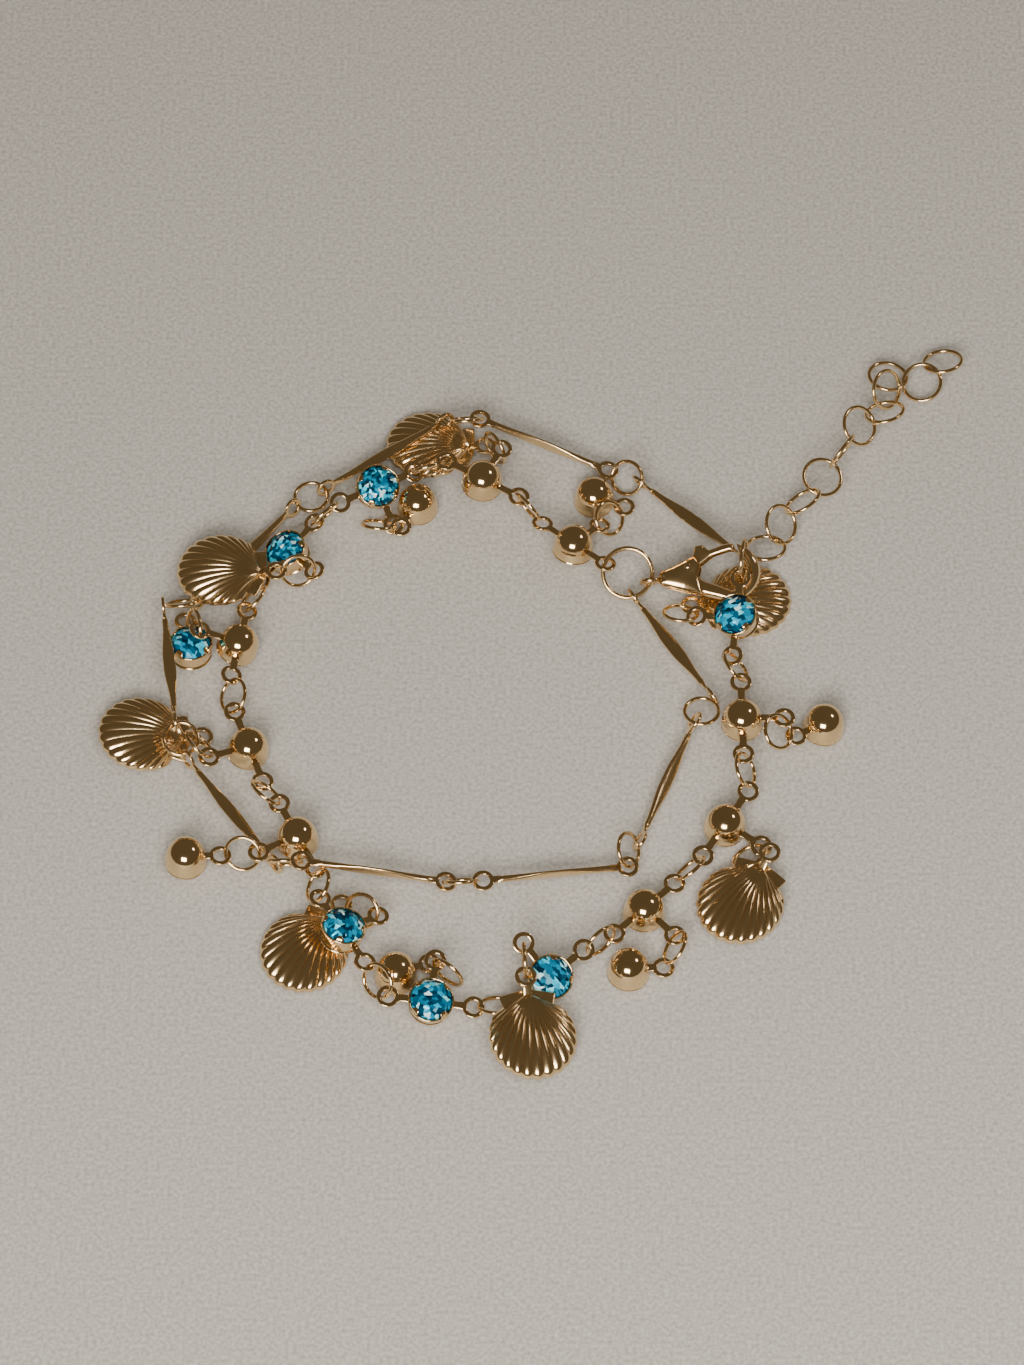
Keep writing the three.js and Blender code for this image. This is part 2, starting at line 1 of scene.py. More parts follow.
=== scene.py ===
# %% [markdown]
# # A two-strand charm bracelet
#
# The bracelet is small metalwork. One strand is ten pressed bar links. The other is fourteen cups with
# three eyes each, holding a polished ball or a faceted glass stone, and every cup carries one drop. Both
# strands run from a big ring to the end link of an extender chain, which a lobster clasp hooks.
#
# Each piece is worked out with numpy as a surface over a grid, its parts are joined into one body, and
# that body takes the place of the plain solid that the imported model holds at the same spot.

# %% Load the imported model
from collections import namedtuple

import bpy
import numpy as np
from mathutils import Matrix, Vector
from mathutils.geometry import tessellate_polygon


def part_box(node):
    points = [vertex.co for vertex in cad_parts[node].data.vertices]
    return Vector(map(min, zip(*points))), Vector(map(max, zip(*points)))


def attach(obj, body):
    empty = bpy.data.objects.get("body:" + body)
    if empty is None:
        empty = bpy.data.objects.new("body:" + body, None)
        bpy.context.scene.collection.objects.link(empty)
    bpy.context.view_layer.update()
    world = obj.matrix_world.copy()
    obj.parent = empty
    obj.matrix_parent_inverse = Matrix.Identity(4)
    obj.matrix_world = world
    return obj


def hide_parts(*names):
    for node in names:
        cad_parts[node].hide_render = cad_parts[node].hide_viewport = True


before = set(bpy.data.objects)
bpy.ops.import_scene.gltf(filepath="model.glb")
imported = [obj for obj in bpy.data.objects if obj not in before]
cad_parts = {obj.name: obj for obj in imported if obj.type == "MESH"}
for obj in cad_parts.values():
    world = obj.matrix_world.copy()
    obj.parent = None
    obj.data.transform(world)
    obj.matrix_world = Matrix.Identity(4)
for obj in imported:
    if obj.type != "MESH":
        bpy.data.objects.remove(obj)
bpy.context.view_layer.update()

MM = 0.001

# %% [markdown]
# ## Where everything lies
#
# A bracelet that is dropped on a table lies as it falls, so no rule gives its places. They are written as
# short tables instead: x and y on the surface, the heading that a piece runs in, and how far it leans.
# The rows were first read off the picture. A separate search program then shifted nearly all of them,
# until each ring reached both of its eyes and no two pieces overlapped, so the numbers are that program's
# result and not chosen by hand. Every strand piece is made from its row.

# %% Tables of places, in millimetres and degrees


def rows(columns, table):
    """One named tuple for each row of a table."""
    row = namedtuple("Row", columns)
    return [row(*values) for values in table]


STATIONS = rows("holds x y heading side tilt lean lift", [
    ("ball", 6.3, 14.9, 139, -1, 17, 67.5, 1.15),
    ("ball", -3, 21.9, 152.5, -1, 5.5, -26.5, 2.95),
    ("stone", -13.85, 21.95, 206, 1, 25.5, -68, 0.75),
    ("stone", -22.95, 14.3, 226.5, 1, 19.5, 178.5, 0.3),
    ("ball", -27.55, 3.2, 260, -1, 18.5, 11, 0.6),
    ("ball", -26.3, -8.75, 291, -1, 7.5, -8, 0.5),
    ("ball", -21.2, -19.4, 296.5, -1, 1, 62, 1.25),
    ("stone", -16.55, -30.55, 302.5, 1, 14, 30.5, 1.65),
    ("stone", -7.9, -37.75, 354.5, 1, 14.5, -69, 0.25),
    ("stone", 3.7, -35.1, 40.5, 1, 31.5, -75, 0),
    ("ball", 13, -27.25, 44.5, -1, 3, 20, 0.5),
    ("ball", 21.15, -17.75, 57, -1, 9, -63, 0.6),
    ("ball", 23, -6.25, 90.5, -1, 0, -14, 2.15),
    ("stone", 22.7, 5.7, 81.5, 1, 20.5, -145.5, 1.6),
])
DROPS = rows("kind x y heading tilt lean lift", [
    ("ball", 11.55, 20.55, 155, 0, 8.5, 0),
    ("shell", -2.75, 27.8, 171.5, 6, 83, 0.55),
    ("ball", -11.4, 17.9, 60, 2, -64, 0.3),
    ("shell", -23.9, 10.9, 170.5, 3.5, 145.5, 2.8),
    ("stone", -33.15, 6.5, 281.5, 5.5, 80, 0.15),
    ("shell", -31, -7.15, 177.5, 10.5, 13, 0.05),
    ("ball", -28.8, -21.2, 182.5, 3.5, 16, 0.5),
    ("shell", -16.75, -26.75, 233.5, 3.5, -43, 0.55),
    ("ball", -8.05, -33.25, 195, 2, -70.5, 0.3),
    ("shell", 1.35, -36.05, 278, 8, -31.5, 2.75),
    ("ball", 14.8, -33.6, 180.5, 2.5, 17.5, 0.05),
    ("shell", 25.4, -21.4, 239.5, 3, -141, 1.5),
    ("ball", 28.4, -7.5, 30.5, 6, 2.5, 0.75),
    ("shell", 18.25, 8.5, 12.5, 0, 160, 0),
])
BARS = rows("x y heading roll start end", [
    (16.25, 3.35, 302.5, 103, 1.25, 1.8),
    (15.45, -12.6, 247, 57.5, 2.25, 1.2),
    (4.3, -23.45, 187.5, -4, 1.75, 2.25),
    (-13.6, -23.5, 175, 0.5, 1.6, 3.55),
    (-27.85, -16.25, 128.5, 97.5, 1.2, 2.55),
    (-34.45, 0.25, 97, 90, 3.65, 2.65),
    (-27.2, 14.5, 49, 73.5, 1.2, 1.9),
    (-13.05, 26.1, 32, 83.5, 2.1, 3.15),
    (3.3, 27.8, 337, -3, 2.55, 1.35),
    (18.5, 18.2, 317, 107, 1.8, 2.65),
])
EXTENDER = rows("x y z heading roll", [
    (23.5, 11.95, 4.3, 81.5, 85),
    (25.84, 14.24, 3.09, 6.73, -20.03),
    (27.5, 17.3, 2.78, 61.46, 45.9),
    (29.79, 20.18, 2.73, 49, -43),
    (31.92, 23.14, 2.79, 42, 17),
    (34.01, 26.14, 3.08, 55, -76),
    (35.9, 29.26, 3.23, 60, 40),
    (38.62, 31.5, 2.46, 27, -28),
    (38.96, 34.66, 2.07, 56, 56),
    (39.22, 36.87, 1.28, 147, 11),
    (42.75, 36.03, 1.39, -32, 22),
    (44.99, 38.48, 1.7, 21, -23),
])
RING_PLACE = (11.75, 11.45, 2.7, 2, 34)  # x, y, z, heading and roll of the big ring
CLASP_PLACE = (14.15, 10.75, 2.2, 1, 25, 0.17)  # the same for the clasp, and how it rises
print("stations", len(STATIONS), "drops", len(DROPS), "bars", len(BARS), "links", len(EXTENDER))

# %% [markdown]
# ## From a row to a place in space
#
# A place is a turn and a point. The turn is a three by three matrix whose columns say where the piece's
# own x, y and z axes end up. A piece is modelled upright around its own middle, where its sizes are easy
# to think about, and only the finished points are carried to the bracelet.

# %% Turns and places
UP = np.array([0.0, 0.0, 1.0])


def unit(vector):
    """The vector divided by its length."""
    return np.asarray(vector, float) / np.linalg.norm(vector)


def units(vectors):
    """Each row divided by its length."""
    return vectors / np.linalg.norm(vectors, axis=1, keepdims=True)


def along(degrees):
    """Level direction: the cosine of the heading along x and its sine along y."""
    return np.array([np.cos(np.radians(degrees)), np.sin(np.radians(degrees)), 0.0])


def about(axis, degrees):
    """Turn about an axis: the identity, plus the sine times the cross-product matrix of the axis, plus
    one less the cosine times that matrix squared."""
    x, y, z = axis
    cross = np.array([[0, -z, y], [z, 0, -x], [-y, x, 0]])
    angle = np.radians(degrees)
    return np.eye(3) + np.sin(angle) * cross + (1 - np.cos(angle)) * cross @ cross


def facing(heading, tilt, lean):
    """Points x along the heading, then leans the upright by the tilt towards the lean."""
    return about(along(lean + 90), tilt) @ about(UP, heading)


def running(direction, roll):
    """Points x along a direction in space, keeps y level, and rolls about that x."""
    x = unit(direction)
    y = unit(np.cross(UP, x))
    return np.column_stack([x, y, np.cross(x, y)]) @ about((1, 0, 0), roll)


class Place:
    """A turn and a point, which carry a piece's own points to the bracelet and back."""

    def __init__(self, turn, at):
        self.turn, self.at = turn, np.asarray(at, float)

    def out(self, points):
        return np.asarray(points) @ self.turn.T + self.at

    def back(self, points):
        return (np.asarray(points) - self.at) @ self.turn

    def eye(self, x, y=0.0):
        """Middle and normal of a flat eye in the piece's own level plane."""
        return self.out([x, y, 0.0]), self.turn[:, 2]


def ring_place(x, y, z, heading, roll):
    """Place of a ring whose plane is rolled about its level heading."""
    return Place(running(along(heading), roll), (x, y, z))


BIG = ring_place(*RING_PLACE)
SHIFT = np.mean(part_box("clasp_ring"), axis=0) / MM - BIG.at
print("the bracelet's origin is moved by", SHIFT.round(3), "mm")

# %% Sizes in millimetres
EYE_HOLE, EYE_OUTER, EYE_THICK = 0.66, 1.1, 0.32  # two radii and a thickness
NECK, NECK_END = 0.42, 0.85  # half width, and how far from the eye's middle the neck ends
JUMP_RADIUS, WIRE = 1.7, 0.42  # to the middle of the wire, and the wire's thickness
BIG_RADIUS, BIG_WIRE = 2.5, 0.5
END_LINK_RADIUS, LINK_RADIUS = 2.1, 1.97
SOLDER = 0.12  # how far a jump ring's wire sinks into the eye that it is closed on
SLACK = 0.35  # eyes that are nearer than a taut ring's reach by this let their ring hang aside
FLOOR_GAP = 0.03  # least room between a ring and the table
EYE_LEVEL = 1.15  # height of a cup's eyes over its foot
STATION_REACH, DROP_REACH, EYE_ROOT = 4.2, 3.4, 1.6  # from a cup's middle to its eyes and their necks
CUP_FOOT, CUP_WALL = 2.1, 2.2  # radii
RIM = 2.0 - EYE_LEVEL  # height of a stone cup's rim over the eyes
BAR_REACH = 7.2  # from a bar's middle to its eyes


def station_place(row):
    """A cup stands on its foot's edge when it leans: its level is the cosine of the tilt times the eye
    level, plus the sine times the cup's radius, plus what lies under it."""
    lean = np.radians(row.tilt)
    height = EYE_LEVEL * np.cos(lean) + CUP_WALL * np.sin(lean) + row.lift
    return Place(facing(row.heading, row.tilt, row.lean), (row.x, row.y, height))


def bar_place(row):
    """A bar runs from one end's height to the other's, so it rises by their difference over its span."""
    rise = (row.end - row.start) / (2 * BAR_REACH)
    direction = along(row.heading) * np.sqrt(1 - rise**2) + rise * UP
    return Place(running(direction, row.roll), (row.x, row.y, (row.start + row.end) / 2))


station_places = [station_place(row) for row in STATIONS]
drop_places = [Place(facing(r.heading, r.tilt, r.lean), (r.x, r.y, EYE_LEVEL + r.lift)) for r in DROPS]
bar_places = [bar_place(row) for row in BARS]
gaps = [np.linalg.norm(a.eye(STATION_REACH)[0] - b.eye(-STATION_REACH)[0])
        for a, b in zip(station_places, station_places[1:])]
print("eye to eye between stations, mm:", np.round(gaps, 1))

# %% [markdown]
# ## The camera
#
# A picture of small jewellery is taken with a long lens from over half a metre away, so lines stay nearly
# parallel. The view looks down by 58 degrees, without depth of field or shift.

# %% Camera


def linked(name, data):
    """A new object in the scene."""
    made = bpy.data.objects.new(name, data)
    bpy.context.scene.collection.objects.link(made)
    return made


LOOK_DOWN, AWAY = np.radians(58), 555.6
camera = linked("camera", bpy.data.cameras.new("camera"))
camera.data.lens, camera.data.sensor_width = 145.05, 36
camera.data.clip_start, camera.data.clip_end = 0.01, 20
camera.location = (np.array([0, -np.cos(LOOK_DOWN) * AWAY, np.sin(LOOK_DOWN) * AWAY]) + SHIFT) * MM
camera.rotation_euler = (np.pi / 2 - LOOK_DOWN, 0, 0)
bpy.context.scene.camera = camera
print("camera at", [round(v, 3) for v in camera.location])

# %% [markdown]
# ## Surfaces from grids
#
# Nearly every part here is a row of closed outlines: rings of wire, turned cups, eyes and bars. One
# function turns such a grid of points into triangles. A wire ring's rows meet their own beginning, and
# any other body closes on a tip at each end. The sign of the volume shows whether the faces point out.

# %% Grid to mesh


def corners_of(points, triangles):
    """The first, the second and the third corners of all triangles."""
    return [points[triangles[:, k]] for k in range(3)]


def volume(points, triangles):
    """Sum over the triangles of one sixth of their corners' triple product."""
    a, b, c = corners_of(points, triangles)
    return np.einsum("ij,ij->", a, np.cross(b, c)) / 6


def outward(points, triangles):
    """The shape with its triangles turned so that they face out."""
    points, triangles = np.asarray(points, float), np.asarray(triangles, int)
    return points, triangles if volume(points, triangles) > 0 else triangles[:, ::-1]


def numbered(grid):
    """The number of each point of a grid, in the grid's own rows and columns."""
    return np.arange(grid.shape[0] * grid.shape[1]).reshape(grid.shape[:2])


def quads(a, b, c, d):
    """Two triangles for each square, whose four corners are given as arrays of point numbers."""
    return np.vstack([np.stack(corners, -1).reshape(-1, 3) for corners in ((a, b, c), (a, c, d))])


def bands(low, high):
    """Squares between rows of closed outlines and the rows that follow them."""
    return quads(low, np.roll(low, -1, 1), np.roll(high, -1, 1), high)


def skin(grid, closed=False, tips=None):
    """Triangles over a grid of rows, each a closed outline. Closed joins the last row to the first.
    Otherwise each end is a fan about its tip, which is the middle of the row unless it is given."""
    index, points = numbered(grid), grid.reshape(-1, 3)
    if closed:
        return outward(points, bands(index, np.roll(index, -1, 0)))
    triangles = [bands(index[:-1], index[1:])]
    ends = (grid[0].mean(0), grid[-1].mean(0)) if tips is None else tips
    for row, tip, side in ((index[0], len(points), -1), (index[-1], len(points) + 1, 1)):
        fan = np.stack([np.full(len(row), tip), row, np.roll(row, -1)], -1)
        triangles.append(fan[:, ::side])
    return outward(np.vstack([points, ends]), np.vstack(triangles))


def spread(x, y, z, tips=None):
    """A skin over the grid that three arrays of coordinates make together."""
    return skin(np.stack(np.broadcast_arrays(x, y, z), -1), tips=tips)


def circle(count, phase=0.0):
    """Cosines and sines of equal steps round a circle."""
    angle = np.linspace(0, 2 * np.pi, count, endpoint=False) + phase
    return np.cos(angle), np.sin(angle)


def rounded_square(count, power=0.45):
    """Points round a square with round corners: cosine and sine raised to a power, signs kept."""
    c, s = circle(count)
    return np.sign(c) * abs(c) ** power, np.sign(s) * abs(s) ** power


def moved(shape, turn=np.eye(3), at=(0, 0, 0)):
    """The shape, turned and then shifted."""
    return shape[0] @ np.asarray(turn).T + at, shape[1]


def smoothstep(start, end, value):
    """Three times the share squared less twice its cube, flat before the start and after the end."""
    share = np.clip((value - start) / (end - start), 0, 1)
    return share**2 * (3 - 2 * share)


print("grid helpers ready")

# %% [markdown]
# ## Wire rings
#
# A jump ring is a turn of round wire, closed on one piece's eye and free in the next one's. Its surface
# is a circle carried round a larger circle. How each ring hangs is searched for: of 72 leans about the
# line between the two eyes, it takes the one where the wire crosses both eyes most squarely and stays
# off the table.

# %% Rings


def carried_round(far, height, around):
    """A closed section, given by its distances from the upright and its heights, carried round it."""
    spoke = np.stack(circle(around) + (np.zeros(around),), -1)
    return skin(spoke[:, None] * far[None, :, None] + height[None, :, None] * UP, closed=True)


def ring(radius, wire, around=64, section=14):
    """The distance from the axis is the radius plus half the wire times a cosine, and the height is half
    the wire times the sine."""
    c, s = circle(section)
    return carried_round(radius + wire / 2 * c, wire / 2 * s, around)


def jump_ring(owner, other):
    """Place of the ring between two eyes, each of which is a middle and a normal. The ring's middle lies
    so far from the owner's eye that the wire sinks into its metal, and aside by the cosine rule if the
    eyes are close. The score of a lean is how squarely the wire crosses the other eye, up to 0.75, and a
    fifth of the same for the owner, up to 0.7. It loses twice any steepness over 0.5 in the owner's eye,
    ten times the depth under the floor gap, and a fiftieth of the height."""
    span = np.linalg.norm(other[0] - owner[0])
    way = (other[0] - owner[0]) / span
    near = JUMP_RADIUS - WIRE / 2 + EYE_HOLE + SOLDER
    forward, aside = near, 0.0
    if span < near + JUMP_RADIUS - SLACK:
        forward = (span**2 + near**2 - JUMP_RADIUS**2) / (2 * span)
        aside = np.sqrt(max(0, near**2 - forward**2))
    across = unit(np.cross(UP, way))
    lean = np.radians(np.arange(-180, 180, 5))[:, None]
    out = np.cos(lean) * across + np.sin(lean) * np.cross(way, across)
    normal = np.cross(way, out)
    middle = owner[0] + way * forward + out * aside
    low = middle[:, 2] - JUMP_RADIUS * np.sqrt(np.maximum(0, 1 - normal[:, 2] ** 2)) - WIRE / 2
    square, own = (abs(np.cross(normal, units(eye[0] - middle)) @ eye[1]) for eye in (other, owner))
    steep = abs(units(owner[0] - middle) @ owner[1])
    score = np.minimum(square, 0.75) + 0.2 * np.minimum(own, 0.7) - 2 * np.maximum(0, steep - 0.5)
    score += 10 * np.minimum(0, low - FLOOR_GAP) - 0.02 * middle[:, 2]
    best = int(np.argmax(score))
    spoke = unit(owner[0] - middle[best])
    turn = np.column_stack([spoke, np.cross(normal[best], spoke), normal[best]])
    return Place(turn, middle[best])


def ring_between(owner, other, home):
    """The ring's surface in the frame of the piece that it is closed on."""
    place = jump_ring(owner, other)
    points, triangles = ring(JUMP_RADIUS, WIRE)
    return home.back(place.out(points)), triangles


print("triangles in a jump ring:", len(ring(JUMP_RADIUS, WIRE)[1]))

# %% [markdown]
# ## Stamped eyes
#
# The eyes are punched from thin sheet, so they are flat washers with slightly rolled edges on a flat neck.
# A rounded square carried round a circle gives the washer. The same one drawn along a line gives the
# neck, which narrows a little in its middle as a pressed part does.

# %% Eyes


def washer(around=56, section=16):
    """A rounded square carried round the hole: its width fills the metal between hole and edge."""
    c, s = rounded_square(section)
    far = (EYE_OUTER + EYE_HOLE) / 2 + (EYE_OUTER - EYE_HOLE) / 2 * c
    return carried_round(far, EYE_THICK / 2 * s, around)


def neck(start, end, rows_along=14, waist=0.12):
    """A rounded square along x, narrower by the waist in the middle of its length."""
    share = np.linspace(0, 1, rows_along)
    x = start + (end - start) * share
    wide = NECK * (1 - waist * np.sin(np.pi * share))
    c, s = rounded_square(20)
    return spread(x[:, None], wide[:, None] * c, EYE_THICK / 2 * s)


def eye(reach, root, turn_degrees=0.0):
    """A washer at its reach and the neck that leads to it, turned about the piece's upright."""
    turn = about(UP, turn_degrees)
    return [moved(washer(), turn, turn @ [reach, 0, 0]), moved(neck(root, reach - NECK_END), turn)]


print("triangles in an eye:", sum(len(part[1]) for part in eye(STATION_REACH, EYE_ROOT)))

# %% [markdown]
# ## One body from many parts
#
# On the real bracelet an eye, its cup and its closed jump ring are one piece of metal. A Boolean modifier
# set to union joins closed meshes and drops what lies inside. The Manifold solver is made for such clean
# closed shapes and takes milliseconds. The result is read back, and the helper objects are removed.

# %% Union


def meshed(name, points, faces):
    """A new object with a mesh of the given points and faces."""
    mesh = bpy.data.meshes.new(name)
    mesh.from_pydata(np.asarray(points).tolist(), [], np.asarray(faces).tolist())
    return linked(name, mesh)


def fuse(parts):
    """The union of closed shapes, as points and triangles."""
    helpers = [meshed("part", *part) for part in parts]
    for helper in helpers[1:]:
        union = helpers[0].modifiers.new("union", "BOOLEAN")
        union.operation, union.solver, union.object = "UNION", "MANIFOLD", helper
    solid = helpers[0].evaluated_get(bpy.context.evaluated_depsgraph_get()).to_mesh()
    solid.calc_loop_triangles()
    points = np.empty(len(solid.vertices) * 3, np.float32)
    triangles = np.empty(len(solid.loop_triangles) * 3, np.int32)
    solid.vertices.foreach_get("co", points)
    solid.loop_triangles.foreach_get("vertices", triangles)
    for helper in helpers:
        mesh = helper.data
        bpy.data.objects.remove(helper)
        bpy.data.meshes.remove(mesh)
    return points.reshape(-1, 3).astype(float), triangles.reshape(-1, 3)


trial = fuse(eye(STATION_REACH, EYE_ROOT))
print("an eye fused with its neck:", len(trial[1]), "triangles,", round(volume(*trial), 2), "cubic mm")

# %% [markdown]
# ## Polished plating
#
# Cheap gold plating over brass is bright but not perfect. The sheet under it is slightly wavy, the plating
# is a little duller where fingers and dust reach, and shade is painted darker into its concave corners.
# All metal pieces share this, so it is one node group with its own sockets: it gives out a colour, a
# roughness and a height, and each material feeds them to its own shader.

# %% Node group for worn plating and painted recess shade


def link(source, target):
    """Joins two sockets in the tree that they belong to."""
    target.id_data.links.new(source, target)


def node(tree, kind, **values):
    """A node of a kind, with its settings."""
    made = tree.nodes.new("ShaderNode" + kind)
    for name, value in values.items():
        setattr(made, name, value)
    return made


def math_node(tree, operation, *values, kind="Math", **settings):
    """A math node fed with constants and with the outputs of other nodes."""
    made = node(tree, kind, operation=operation, **settings)
    for socket, value in zip(made.inputs, values):
        if isinstance(value, (int, float, tuple)):
            socket.default_value = value
        else:
            link(value, socket)
    return made.outputs[0]


def vector_node(tree, operation, *values):
    """The same for vectors."""
    return math_node(tree, operation, *values, kind="VectorMath")


def noise(tree, scale, detail):
    """Soft random spots on the object's own coordinates, with their scale in spots per metre."""
    made = node(tree, "TexNoise")
    made.inputs["Scale"].default_value = scale
    made.inputs["Detail"].default_value = detail
    link(node(tree, "TexCoord").outputs["Object"], made.inputs["Vector"])
    return made.outputs["Fac"]


def ramp(tree, value, stops):
    """A colour ramp through the given places and colours."""
    made = node(tree, "ValToRGB")
    elements = made.color_ramp.elements
    while len(elements) < len(stops):
        elements.new(0.5)
    for element, (position, colour) in zip(elements, stops):
        element.position, element.color = position, (*colour, 1)
    link(value, made.inputs["Fac"])
    return made.outputs["Color"]


def group(name, inputs, outputs):
    """An empty shader node group with its sockets, and the nodes at its two ends."""
    tree = bpy.data.node_groups.new(name, "ShaderNodeTree")
    for direction, sockets in (("INPUT", inputs), ("OUTPUT", outputs)):
        for label, kind, *value in sockets:
            socket = tree.interface.new_socket(label, in_out=direction, socket_type="NodeSocket" + kind)
            if value:
                socket.default_value = value[0]
    return tree, tree.nodes.new("NodeGroupInput").outputs, tree.nodes.new("NodeGroupOutput").inputs


BLOTCHES, GRAIN, WAVES = (260, 3), (5200, 2), (420, 1)  # scale and detail of three noises
plating, given, result = group(
    "worn_plating_and_recess_shade",
    [("Bright", "Color", (0.9, 0.67, 0.37, 1)), ("Dull", "Color", (0.5, 0.35, 0.16, 1)),
     ("Polish", "Float", 0.1), ("Wear", "Float", 0.5)],
    [("Color", "Color"), ("Roughness", "Float"), ("Height", "Float")],
)
blotches = math_node(plating, "MULTIPLY_ADD", noise(plating, *BLOTCHES), 1.8, -0.72, use_clamp=True)
# Painted shade: where the Pointiness shows a concave corner, the colour is pulled towards the dull colour,
# as the shade that falls in recesses.
corners = node(plating, "MapRange", clamp=True)
for label, value in (("From Min", 0.5), ("From Max", 0.42), ("To Min", 0.0), ("To Max", 0.8)):
    corners.inputs[label].default_value = value
link(node(plating, "NewGeometry").outputs["Pointiness"], corners.inputs["Value"])
# The darker colour comes from wear blotches and from painted recess shade, whichever is stronger.
wear_and_recess_shade = math_node(plating, "MAXIMUM", math_node(plating, "MULTIPLY", blotches, given["Wear"]),
                     corners.outputs[0])
tint = node(plating, "Mix", data_type="RGBA")  # its colours are inputs 6 and 7 and output 2
for place, source in ((0, wear_and_recess_shade), (6, given["Bright"]), (7, given["Dull"])):
    link(source, tint.inputs[place])
link(tint.outputs[2], result["Color"])
haze = math_node(plating, "MULTIPLY", wear_and_recess_shade, 0.22)
grain = math_node(plating, "MULTIPLY", noise(plating, *GRAIN), 0.05)
link(math_node(plating, "ADD", math_node(plating, "ADD", given["Polish"], haze), grain),
     result["Roughness"])
waves = math_node(plating, "ADD", noise(plating, *WAVES), math_node(plating, "MULTIPLY", grain, 0.6))
link(waves, result["Height"])
print("node group:", plating.name, "with", len(plating.nodes), "nodes")

# %% Gold materials


def new_material(name):
    """A material with its node tree and its shader."""
    material = bpy.data.materials.new(name)
    material.use_nodes = True
    return material, material.node_tree, material.node_tree.nodes["Principled BSDF"]


def gold(name, polish, wear, bump):
    """A metal whose colour, roughness and waviness come from the plating group."""
    material, tree, shader = new_material(name)
    shader.inputs["Metallic"].default_value = 1.0
    finish = node(tree, "Group", node_tree=plating)
    finish.inputs["Polish"].default_value = polish
    finish.inputs["Wear"].default_value = wear
    link(finish.outputs["Color"], shader.inputs["Base Color"])
    link(finish.outputs["Roughness"], shader.inputs["Roughness"])
    relief = node(tree, "Bump")
    relief.inputs["Strength"].default_value = 0.5
    relief.inputs["Distance"].default_value = bump * MM
    link(finish.outputs["Height"], relief.inputs["Height"])
    link(relief.outputs["Normal"], shader.inputs["Normal"])
    return material


WIRE_GOLD = gold("bright_wire_gold", 0.12, 0.5, 0.05)
CUP_GOLD = gold("polished_cup_gold", 0.06, 0.35, 0.03)
PRESSED_GOLD = gold("pressed_sheet_gold", 0.13, 0.6, 0.08)
CAST_GOLD = gold("cast_clasp_gold", 0.1, 0.5, 0.08)
print("metals:", [m.name for m in bpy.data.materials if "gold" in m.name])

# %% [markdown]
# ## Teal glass
#
# A foil-backed glass stone sends light back from the many small facets under its table. Real refraction
# through a four millimetre stone costs much and shows little at this size, so the light that the facets
# behind the glass send back is painted as a pattern of cells on a UV map that lies level on each stone.
# Each cell gets a random tilt and a random painted brightness, from dark teal to near-white painted glints,
# and a clear coat over it is the polished front. The front facets are real faces.

# %% Node group for the painted foil glints and the stone's material
facets, given, result = group(
    "painted_foil_glints", [("Cells", "Float", 6.0)], [("Shade", "Float"), ("Tilt", "Color")])
own = node(facets, "CombineXYZ")  # shifts the pattern a little differently on each stone
for axis, scale in (("X", 31), ("Y", 47)):
    link(math_node(facets, "MULTIPLY", noise(facets, scale, 0), 3), own.inputs[axis])
chart = node(facets, "UVMap", uv_map="setting")
cells = node(facets, "TexVoronoi", voronoi_dimensions="2D", distance="MANHATTAN")
link(vector_node(facets, "ADD", chart.outputs[0], own.outputs[0]), cells.inputs["Vector"])
link(given["Cells"], cells.inputs["Scale"])
# Each cell's random value picks its painted brightness on the stone's ramp.
tone = node(facets, "SeparateColor")
link(cells.outputs["Color"], tone.inputs[0])
link(tone.outputs[0], result["Shade"])
link(cells.outputs["Color"], result["Tilt"])
print("node group:", facets.name, "with", len(facets.nodes), "nodes")

TEAL, tree, shader = new_material("teal_foiled_glass")
pattern = node(tree, "Group", node_tree=facets)
pattern.inputs["Cells"].default_value = 10.5
# The glass's own teal with painted reflection from the foil: cells run from dark to bright teal, and the
# top stops are painted near-white glints.
teal_and_painted_glints = [(0.0, (0.0, 0.01, 0.025)), (0.38, (0.0, 0.06, 0.12)), (0.62, (0.0, 0.2, 0.35)),
          (0.84, (0.0, 0.45, 0.72)), (0.93, (0.05, 0.8, 1.0)), (0.98, (0.7, 1.0, 1.0))]
link(ramp(tree, pattern.outputs["Shade"], teal_and_painted_glints), shader.inputs["Base Color"])
shader.inputs["Metallic"].default_value = 0.15
shader.inputs["Roughness"].default_value = 0.12
shader.inputs["Specular Tint"].default_value = (0.35, 0.9, 1.0, 1.0)
shader.inputs["Coat Weight"].default_value = 0.25
shader.inputs["Coat Roughness"].default_value = 0.03
FOIL_LEAN = 0.25  # most that a facet's normal is pushed along each axis
lean = vector_node(tree, "MULTIPLY_ADD", pattern.outputs["Tilt"], (2 * FOIL_LEAN,) * 3, (-FOIL_LEAN,) * 3)
tilted = vector_node(tree, "ADD", node(tree, "NewGeometry").outputs["Normal"], lean)
link(vector_node(tree, "NORMALIZE", tilted), shader.inputs["Normal"])

# %% [markdown]
# ## From shape to piece
#
# A finished piece is a mesh in metres whose object sits at the origin, unturned. Curved metal is shaded
# smooth, sharp edges stay crisp, and the stone's facets stay flat. The piece rides on its body, so the
# clasp's lever can swing, and it takes the place of the plain solid.

# %% Pieces
CRISP = np.radians(40)  # edges sharper than this stay sharp
finished = {}  # triangles in each finished piece


